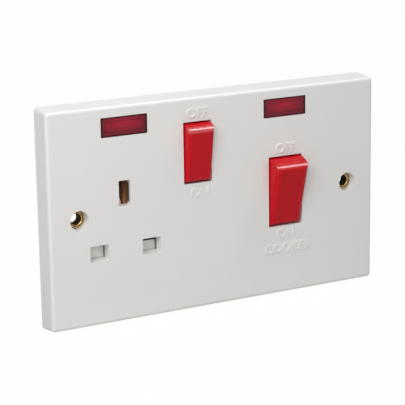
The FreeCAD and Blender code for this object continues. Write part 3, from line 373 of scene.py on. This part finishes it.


# Eyelet colour: rings painted bright and dark as highlights and shade over turned rings in the bump, with
# some wear in them, and painted shade in the bore
def turned_rings_group():
    tree, given, out = group_with(
        "turned_rings",
        [("NodeSocketVector", "Middle", (0, 0, 0)),
         ("NodeSocketFloat", "Bore Radius", 0.002),
         ("NodeSocketFloat", "Ring Pitch", 0.001),
         ("NodeSocketColor", "Bright", (0.8, 0.7, 0.4, 1)),
         ("NodeSocketColor", "Tarnish", (0.3, 0.2, 0.1, 1)),
         ("NodeSocketColor", "Bore", (0.1, 0.06, 0.02, 1))],
        [("NodeSocketColor", "Colour"), ("NodeSocketFloat", "Roughness"), ("NodeSocketFloat", "Height")])
    place, axes = centred_axes(tree, given.outputs["Middle"])
    radius = radius_of(tree, axes["X"], axes["Z"])
    beyond = math_node(tree, "SUBTRACT", radius, given.outputs["Bore Radius"])
    turns = math_node(tree, "DIVIDE", beyond, given.outputs["Ring Pitch"])
    wave = math_node(tree, "SINE", math_node(tree, "MULTIPLY", turns, 2 * math.pi))
    stain = noise(tree, place, STAIN_SCALE, detail=5.0, roughness=0.65)
    worn = math_node(tree, "ADD", wave, spread_noise(tree, stain, RING_WEAR, -RING_WEAR))
    ring = fading_out(tree, worn, -RING_SOFTNESS, RING_SOFTNESS, 1.0)
    flange = blend_colours(tree, ring, given.outputs["Bright"], given.outputs["Tarnish"])
    inside = fading_out(tree, beyond, *BORE_FADE, 1.0)
    colour = blend_colours(tree, inside, flange, given.outputs["Bore"])
    tree.links.new(colour, out.inputs["Colour"])
    rough = math_node(tree, "MAXIMUM", spread(tree, ring, 0.0, 1.0, *RING_GLOSS), inside)
    tree.links.new(math_node(tree, "MULTIPLY", rough, BORE_ROUGHNESS), out.inputs["Roughness"])
    tree.links.new(wave, out.inputs["Height"])
    return tree


def polished_edge_group():
    tree, given, out = group_with(
        "polished_edge",
        [("NodeSocketVector", "Edge", (0, 0, 0)),
         ("NodeSocketFloat", "Reach", 0.002),
         ("NodeSocketFloat", "Peak", 1.0)],
        [("NodeSocketFloat", "Polish")])
    axes = centred_axes(tree, given.outputs["Edge"])[1]
    away = math_node(tree, "DIVIDE", radius_of(tree, axes["Y"], axes["Z"]), given.outputs["Reach"])
    polish = fading_out(tree, away, POLISH_FULL, 1.0, given.outputs["Peak"])
    tree.links.new(polish, out.inputs["Polish"])
    return tree


# Mask for painted shade on the walls of a recess: none in front of its start, full a fade further back,
# and only within its half width and half height
def recess_shade_group():
    tree, given, out = group_with(
        "recess_shade",
        [("NodeSocketVector", "Middle", (0, 0, 0)),
         ("NodeSocketFloat", "Half Width", 0.004),
         ("NodeSocketFloat", "Half Height", 0.004),
         ("NodeSocketFloat", "Start", 0.001),
         ("NodeSocketFloat", "Fade", 0.001)],
        [("NodeSocketFloat", "Mask")])
    axes = centred_axes(tree, given.outputs["Middle"])[1]
    deep = math_node(tree, "SUBTRACT", axes["Y"], given.outputs["Start"])
    mask = spread(tree, math_node(tree, "DIVIDE", deep, given.outputs["Fade"]), 0.0, 1.0, 0.0, 1.0)
    for axis, label in (("X", "Half Width"), ("Z", "Half Height")):
        offset = math_node(tree, "ABSOLUTE", axes[axis])
        away = math_node(tree, "SUBTRACT", offset, given.outputs[label])
        mask = math_node(tree, "MULTIPLY", mask, fading_out(tree, away, 0.0, SHADE_BORDER, 1.0))
    tree.links.new(mask, out.inputs["Mask"])
    return tree


# Leaf colour: a bright band painted as light at a depth, darker away from it as painted shade, its edge
# made uneven by stains
def sprung_leaf_group():
    tree, given, out = group_with(
        "sprung_leaf",
        [("NodeSocketVector", "Band", (0, 0, 0)),
         ("NodeSocketFloat", "Reach", 0.002),
         ("NodeSocketColor", "Bright", (0.9, 0.5, 0.3, 1)),
         ("NodeSocketColor", "Tarnish", (0.1, 0.05, 0.02, 1))],
        [("NodeSocketColor", "Colour"), ("NodeSocketFloat", "Roughness"), ("NodeSocketFloat", "Height")])
    place, axes = centred_axes(tree, given.outputs["Band"])
    stain = noise(tree, place, LEAF_STAIN_SCALE, detail=4.0, roughness=0.6)
    away = math_node(tree, "DIVIDE", math_node(tree, "ABSOLUTE", axes["Y"]), given.outputs["Reach"])
    uneven = math_node(tree, "ADD", away, spread_noise(tree, stain, -LEAF_UNEVENNESS, LEAF_UNEVENNESS))
    share = spread(tree, uneven, *LEAF_FADE, 0.0, 1.0)
    colour = blend_colours(tree, share, given.outputs["Bright"], given.outputs["Tarnish"])
    tree.links.new(colour, out.inputs["Colour"])
    tree.links.new(spread(tree, share, 0.0, 1.0, *LEAF_GLOSS), out.inputs["Roughness"])
    tree.links.new(stain, out.inputs["Height"])
    return tree


MOULDED_SKIN = moulded_skin_group()
WORKED_METAL = worked_metal_group()
WINDOW_SHADE = window_shade_group()
RINGS_AND_PAINTED_LIGHT = turned_rings_group()
POLISHED_EDGE = polished_edge_group()
PAINTED_SHADE_IN_RECESS = recess_shade_group()
LEAF_AND_PAINTED_LIGHT = sprung_leaf_group()


def finish_with(name, group, values, bump_mm, bump_strength):
    material = bpy.data.materials.new(name)
    material.use_nodes = True
    tree = material.node_tree
    shader = tree.nodes["Principled BSDF"]
    skin = placed_group(tree, group, values)
    bump = tree.nodes.new("ShaderNodeBump")
    bump.inputs["Distance"].default_value = bump_mm * MM
    bump.inputs["Strength"].default_value = bump_strength
    tree.links.new(skin.outputs["Colour"], shader.inputs["Base Color"])
    tree.links.new(skin.outputs["Roughness"], shader.inputs["Roughness"])
    tree.links.new(skin.outputs["Height"], bump.inputs["Height"])
    tree.links.new(bump.outputs["Normal"], shader.inputs["Normal"])
    return material, shader


def moulding(name, colour, flow, gloss, grain_scale, bump_mm, bump_strength):
    values = {"Colour": (*colour, 1), "Flow Colour": (*flow, 1), "Gloss Low": gloss[0],
              "Gloss High": gloss[1], "Grain Scale": grain_scale}
    return finish_with(name, MOULDED_SKIN, values, bump_mm, bump_strength)


def metal(name, bright, tarnish, start, gloss):
    values = {"Bright": (*bright, 1), "Tarnish": (*tarnish, 1), "Tarnish Start": start,
              "Gloss Low": gloss[0], "Gloss High": gloss[1]}
    material, shader = finish_with(name, WORKED_METAL, values, bump_mm=0.01, bump_strength=0.4)
    shader.inputs["Metallic"].default_value = 1.0
    return material


# Paints shade into the base colour on the walls of each recess, in that recess's shade colour
def paint_shade_in_recesses(material, shader, recesses):
    tree = material.node_tree
    colour = shader.inputs["Base Color"].links[0].from_socket
    for middle, half_width, half_height, (start, fade), shade in recesses:
        recess = placed_group(tree, PAINTED_SHADE_IN_RECESS, {
            "Middle": middle, "Half Width": half_width, "Half Height": half_height,
            "Start": start, "Fade": fade})
        colour = blend_colours(tree, recess.outputs["Mask"], colour, (*shade, 1))
    tree.links.new(colour, shader.inputs["Base Color"])


def white_moulding(name):
    material, shader = moulding(name, colour=(0.86, 0.85, 0.83), flow=(0.845, 0.835, 0.812),
                                gloss=(0.30, 0.40), grain_scale=1800.0, bump_mm=0.004, bump_strength=0.25)
    shader.inputs["IOR"].default_value = 1.55
    return material, shader


def opening_box(name):
    opening = next(row for row in frame["record"]["physics"]["openings"] if row["name"] == name)
    low, high = (Vector(corner) for corner in opening["box_m"])
    return (low + high) / 2, (high - low) / 2


# White moulding of the plate, with shade painted on the walls of its slots and neon windows
def plate_moulding_with_painted_shade():
    material, shader = white_moulding("plate_moulding_with_painted_shade")
    recesses = []
    for name in ("neutral_slot", "live_slot"):
        middle, half = opening_box(name)
        recesses.append((Vector((middle.x, FACE_Y, middle.z)), half.x + WALL_ROOM,
                         half.z + SLOT_LEDGE_ROOM, SLOT_SHADE, SLOT_PAINTED_SHADE))
    middle, half = opening_box("earth_slot")
    recesses.append((Vector((middle.x, FACE_Y, middle.z)), half.x + WALL_ROOM, half.z - EARTH_LIP,
                     EARTH_SHADE, EARTH_PAINTED_SHADE))
    for node in ("socket_neon_lens", "cooker_neon_lens"):
        middle = middle_of(node)
        half = half_size_of(node)
        recesses.append((Vector((middle.x, FACE_Y, middle.z)), half.x - LENS_LIP_W + WALL_ROOM,
                         half.z - LENS_LIP_H + WALL_ROOM, WINDOW_WALL_SHADE, WINDOW_WALL_PAINTED_RED_SHADE))
    paint_shade_in_recesses(material, shader, recesses)
    return material


# Shutter moulding, with shade painted in a dark strip along the upper edge of its live blade
def shutter_moulding():
    material, shader = moulding("shutter_moulding", colour=(0.94, 0.93, 0.89), flow=(0.91, 0.90, 0.86),
                                gloss=(0.35, 0.5), grain_scale=1600.0, bump_mm=0.02, bump_strength=0.4)
    middle, half = opening_box("live_slot")
    blade_top = max(vertex.co.z for vertex in nodes["shutter"].data.vertices if vertex.co.x > middle.x)
    edge = Vector((middle.x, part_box("shutter")[0].y, blade_top))
    recess = (edge, half.x + WALL_ROOM, BLADE_EDGE, BLADE_SHADE, BLADE_PAINTED_SHADE)
    paint_shade_in_recesses(material, shader, [recess])
    return material


def red_moulding(node):
    material, shader = moulding(node + "_red", colour=(0.60, 0.005, 0.013), flow=(0.57, 0.004, 0.011),
                                gloss=(0.12, 0.18), grain_scale=2200.0, bump_mm=0.010, bump_strength=0.30)
    shader.inputs["Specular IOR Level"].default_value = 0.12
    shader.inputs["Coat Roughness"].default_value = 0.12
    shader.inputs["Coat IOR"].default_value = 1.85
    edge = max(nodes[node].data.vertices, key=lambda vertex: vertex.co.z - vertex.co.y).co
    reach, peak = POLISH[node]
    polish = placed_group(material.node_tree, POLISHED_EDGE, {"Edge": edge, "Reach": reach, "Peak": peak})
    material.node_tree.links.new(polish.outputs["Polish"], shader.inputs["Coat Weight"])
    return material


# Brass of an eyelet: its bright ring colour is painted highlight, its dark ring colour, fed in as tarnish,
# painted shade, and its bore colour painted shade
def eyelet_brass(node):
    values = {"Middle": middle_of(node),
              "Bore Radius": EYELET_BORE_R,
              "Ring Pitch": EYELET_RING_PITCH,
              "Bright": (0.58, 0.41, 0.16, 1),
              "Tarnish": (0.06, 0.033, 0.011, 1),
              "Bore": (0.05, 0.03, 0.01, 1)}
    material, shader = finish_with(node + "_brass", RINGS_AND_PAINTED_LIGHT, values, bump_mm=0.04, bump_strength=0.5)
    shader.inputs["Metallic"].default_value = 1.0
    return material


# Copper of the earth clip: its bright band is painted light, and its dark colour, fed in as tarnish, is
# painted shade
def earth_copper():
    values = {"Band": (0, FACE_Y + LEAF_BAND_DEPTH, 0),
              "Reach": LEAF_BAND_REACH,
              "Bright": (1.0, 0.62, 0.36, 1),
              "Tarnish": (0.34, 0.16, 0.06, 1)}
    material, shader = finish_with("earth_copper", LEAF_AND_PAINTED_LIGHT, values, bump_mm=0.01, bump_strength=0.4)
    shader.inputs["Metallic"].default_value = 1.0
    return material


def black_moulding():
    return moulding("black_moulding", colour=(0.020, 0.020, 0.022), flow=(0.028, 0.028, 0.030),
                    gloss=(0.42, 0.62), grain_scale=2600.0, bump_mm=0.05, bump_strength=0.6)[0]


def plunger_moulding():
    return moulding("plunger_moulding", colour=(0.66, 0.63, 0.54), flow=(0.60, 0.57, 0.47),
                    gloss=(0.35, 0.5), grain_scale=1600.0, bump_mm=0.02, bump_strength=0.4)[0]


# Neon lens, its red painted lighter in the middle and darker at the border, as light and shade
def neon_red(node):
    half = half_size_of(node)
    values = {"Middle": middle_of(node),
              "Half Width": half.x - LENS_LIP_W,
              "Half Height": half.z - LENS_LIP_H,
              "Painted Light": (0.60, 0.010, 0.042, 1),
              "Body": (0.27, 0.008, 0.024, 1),
              "Border": (0.022, 0.001, 0.003, 1)}
    material, shader = finish_with(node + "_red", WINDOW_SHADE, values, bump_mm=0.02, bump_strength=0.3)
    shader.inputs["Transmission Weight"].default_value = 0.35
    shader.inputs["IOR"].default_value = 1.49
    shader.inputs["Specular IOR Level"].default_value = 0.12
    return material


def lamp_glass():
    material, shader = moulding("lamp_glass", colour=(0.93, 0.92, 0.90), flow=(0.88, 0.86, 0.82),
                                gloss=(0.02, 0.06), grain_scale=900.0, bump_mm=0.01, bump_strength=0.2)
    shader.inputs["Transmission Weight"].default_value = 1.0
    shader.inputs["IOR"].default_value = 1.47
    return material


def resistor_body():
    return moulding("resistor_body", colour=(0.42, 0.27, 0.12), flow=(0.36, 0.22, 0.10),
                    gloss=(0.3, 0.45), grain_scale=2000.0, bump_mm=0.02, bump_strength=0.4)[0]


# Metals: bright colour, tarnished colour, where the tarnish starts, and gloss
METALS = {
    "brass": ((0.44, 0.30, 0.11), (0.17, 0.10, 0.03), 0.42, (0.22, 0.45)),
    "copper_strip": ((0.80, 0.45, 0.24), (0.34, 0.16, 0.07), 0.50, (0.35, 0.55)),
    "silver_contact": ((0.78, 0.77, 0.73), (0.45, 0.42, 0.36), 0.52, (0.2, 0.4)),
    "steel": ((0.58, 0.58, 0.55), (0.38, 0.36, 0.30), 0.50, (0.25, 0.45)),
    "spring_steel": ((0.45, 0.45, 0.46), (0.25, 0.24, 0.23), 0.50, (0.2, 0.4)),
    "tinned_wire": ((0.68, 0.67, 0.63), (0.45, 0.43, 0.38), 0.50, (0.25, 0.45)),
}

# Finish of each material slot, and of the pieces that have one of their own
FINISHES = {
    "white_moulding": white_moulding("white_moulding")[0],
    "black_moulding": black_moulding(),
    "shutter_moulding": shutter_moulding(),
    "plunger_moulding": plunger_moulding(),
    "lamp_glass": lamp_glass(),
    "resistor_body": resistor_body(),
    **{name: metal(name, *values) for name, values in METALS.items()},
}
NODE_FINISHES = {
    "front_plate": plate_moulding_with_painted_shade(),
    "earth_pin_contact": earth_copper(),
    "cooker_rocker": red_moulding("cooker_rocker"),
    "socket_rocker": red_moulding("socket_rocker"),
    "left_eyelet": eyelet_brass("left_eyelet"),
    "right_eyelet": eyelet_brass("right_eyelet"),
    "cooker_neon_lens": neon_red("cooker_neon_lens"),
    "socket_neon_lens": neon_red("socket_neon_lens"),
}


def dress_nodes():
    for name, node in nodes.items():
        node.data.materials.clear()
        node.data.materials.append(NODE_FINISHES.get(name) or FINISHES[node_slots[name]])


def close_mesh(piece):
    use_only(piece)
    bpy.ops.object.mode_set(mode="EDIT")
    bpy.ops.mesh.select_all(action="SELECT")
    bpy.ops.mesh.remove_doubles(threshold=MERGE_GAP)
    bpy.ops.mesh.normals_make_consistent(inside=False)
    bpy.ops.object.mode_set(mode="OBJECT")
    bpy.ops.object.shade_smooth_by_angle(angle=math.radians(SMOOTH_DEGREES))


# Closed copies of the plungers and of the springs

def closed_copy(node, name, body):
    piece = bpy.data.objects.new(name, nodes[node].data.copy())
    bpy.context.collection.objects.link(piece)
    close_mesh(piece)
    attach(piece, body)
    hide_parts(node)
    return piece


def pressed_spring(node, body):
    spring = closed_copy(node, node + "_coil", body)
    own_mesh(spring)


# Lettering

def word_mesh(name, word, height):
    bpy.ops.object.text_add(location=(0, 0, 0))
    text = bpy.context.object
    text.data.body = word
    text.data.offset = LETTER_WEIGHT
    text.data.align_x = "CENTER"
    text.data.align_y = "CENTER"
    text.data.extrude = (LETTER_RISE + LETTER_SINK) / 2
    text.data.bevel_depth = LETTER_EDGE
    text.data.bevel_resolution = LETTER_EDGE_STEPS
    text.data.size = height
    bpy.ops.object.convert(target="MESH")
    piece = bpy.context.object
    piece.name = name
    low = Vector(map(min, zip(*piece.bound_box)))
    high = Vector(map(max, zip(*piece.bound_box)))
    grow = height / (high.y - low.y)
    thick = (LETTER_RISE + LETTER_SINK) / (high.z - low.z)
    piece.data.transform(Matrix.Diagonal((grow, grow, thick, 1)) @ Matrix.Translation(-(low + high) / 2))
    return piece


def raised_word(name, word, x, z, height, slot="white_moulding", behind=False):
    piece = word_mesh(name, word, height)
    upright = Matrix.Rotation(math.radians(90), 4, "X")
    level = Vector((x, FACE_Y + (LETTER_SINK - LETTER_RISE) / 2, z))
    if behind:
        upright = Matrix.Rotation(math.radians(180), 4, "Z") @ upright
        level.y = REAR_Y - (LETTER_SINK - LETTER_RISE) / 2
    piece.data.transform(Matrix.Translation(level) @ upright)
    close_mesh(piece)
    piece.data.materials.append(FINISHES[slot])
    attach(piece, "plate")


def plate_lettering():
    socket_x = middle_of("socket_rocker").x
    cooker_x = middle_of("cooker_rocker").x
    raised_word("socket_off_letters", "OFF", socket_x, SOCKET_OFF_Z, LETTER_H)
    raised_word("socket_on_letters", "ON", socket_x + SOCKET_ON_SHIFT, SOCKET_ON_Z, LETTER_H)
    raised_word("cooker_off_letters", "OFF", cooker_x, COOKER_OFF_Z, LETTER_H)
    raised_word("cooker_on_letters", "ON", cooker_x, COOKER_ON_Z, LETTER_H)
    raised_word("cooker_word_letters", "COOKER", cooker_x + COOKER_WORD_SHIFT, COOKER_WORD_Z, LETTER_H)


def terminal_lettering():
    supply_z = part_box("live_supply_terminal")[0].z + REAR_LETTER_INSET
    load_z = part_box("live_load_terminal")[1].z - REAR_LETTER_INSET
    for side, z in (("supply", supply_z), ("load", load_z)):
        live_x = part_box("live_" + side + "_terminal")[0].x + BLOCK_HALF_W
        neutral_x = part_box("neutral_" + side + "_terminal")[1].x - BLOCK_HALF_W
        for pole, letter, x in (("live", "L", live_x), ("neutral", "N", neutral_x)):
            raised_word(side + "_" + pole + "_letter", letter, x, z, REAR_LETTER_H,
                        slot="black_moulding", behind=True)
    earth_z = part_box("earth_terminal")[1].z - REAR_LETTER_INSET
    raised_word("earth_letter", "E", middle_of("earth_terminal").x, earth_z, REAR_LETTER_H,
                slot="black_moulding", behind=True)


# Studio

def seen_rays(tree):
    rays = tree.nodes.new("ShaderNodeLightPath")
    total = rays.outputs["Is Camera Ray"]
    for label in ("Is Glossy Ray", "Is Transmission Ray"):
        total = math_node(tree, "ADD", total, rays.outputs[label])
    capped = tree.nodes.new("ShaderNodeClamp")
    tree.links.new(total, capped.inputs["Value"])
    return capped.outputs["Result"]


def studio_world():
    world = bpy.data.worlds.new("studio_world")
    bpy.context.scene.world = world
    world.use_nodes = True
    tree = world.node_tree
    sky = tree.nodes["Background"]
    sky.inputs["Color"].default_value = WHITE
    tree.links.new(spread(tree, seen_rays(tree), 0.0, 1.0, AMBIENT, 1.0), sky.inputs["Strength"])


def studio_floor():
    bpy.ops.mesh.primitive_plane_add(size=FLOOR_SIZE, location=(0, 0, 0))
    floor = bpy.context.object
    floor.name = "studio_floor"
    floor.data.transform(Matrix.Translation((0, 0, BOTTOM_Z - FLOOR_GAP)))
    material = bpy.data.materials.new("studio_floor_paint")
    material.use_nodes = True
    tree = material.node_tree
    paint = tree.nodes["Principled BSDF"]
    paint.inputs["Base Color"].default_value = FLOOR_PAINT
    paint.inputs["Roughness"].default_value = FLOOR_ROUGHNESS
    glow = tree.nodes.new("ShaderNodeEmission")
    glow.inputs["Color"].default_value = WHITE
    mix = tree.nodes.new("ShaderNodeMixShader")
    tree.links.new(math_node(tree, "MULTIPLY", seen_rays(tree), FLOOR_WHITENESS), mix.inputs["Fac"])
    tree.links.new(paint.outputs["BSDF"], mix.inputs[1])
    tree.links.new(glow.outputs["Emission"], mix.inputs[2])
    tree.links.new(mix.outputs["Shader"], tree.nodes["Material Output"].inputs["Surface"])
    floor.data.materials.append(material)


def lamp(name, place, width, height, power):
    bpy.ops.object.light_add(type="AREA", location=place)
    light = bpy.context.object
    light.name = name
    light.data.shape = "RECTANGLE"
    light.data.size = width
    light.data.size_y = height
    light.data.energy = power
    light.rotation_euler = (VIEW_TARGET - place).to_track_quat("-Z", "Y").to_euler()


def photo_camera():
    azimuth = math.radians(VIEW_AZIMUTH)
    elevation = math.radians(VIEW_ELEVATION)
    roll = math.radians(VIEW_ROLL)
    back = Vector((math.sin(azimuth) * math.cos(elevation), -math.cos(azimuth) * math.cos(elevation),
                   math.sin(elevation)))
    level = (-back).cross(Vector((0, 0, 1))).normalized()
    rise = level.cross(-back)
    right = level * math.cos(roll) + rise * math.sin(roll)
    up = rise * math.cos(roll) - level * math.sin(roll)
    bpy.ops.object.camera_add()
    camera = bpy.context.object
    camera.name = "photo_camera"
    camera.matrix_world = (Matrix.Translation(VIEW_TARGET + back * VIEW_DISTANCE)
                           @ Matrix((right, up, back)).transposed().to_4x4())
    camera.data.sensor_width = SENSOR_MM
    camera.data.lens = FOCAL_PX / IMAGE_PX * SENSOR_MM
    camera.data.shift_x = 0.5 - CENTRE_PX[0] / IMAGE_PX
    camera.data.shift_y = CENTRE_PX[1] / IMAGE_PX - 0.5
    camera.data.clip_start = NEAR_CLIP
    camera.data.clip_end = FAR_CLIP
    bpy.context.scene.camera = camera


dress_nodes()
pressed_spring("shutter_spring", "plate")
for pole, rocker in (("cooker_live", "cooker_rocker"), ("cooker_neutral", "cooker_rocker"),
                     ("socket", "socket_rocker")):
    plunger = pole + "_plunger"
    closed_copy(plunger, plunger + "_pin", plunger)
    pressed_spring(plunger + "_spring", rocker)
plate_lettering()
terminal_lettering()
studio_world()
studio_floor()
lamp("key_softbox", *KEY_LAMP)
lamp("top_strip_light", *TOP_LAMP)
photo_camera()
bpy.context.scene.view_settings.view_transform = "Standard"
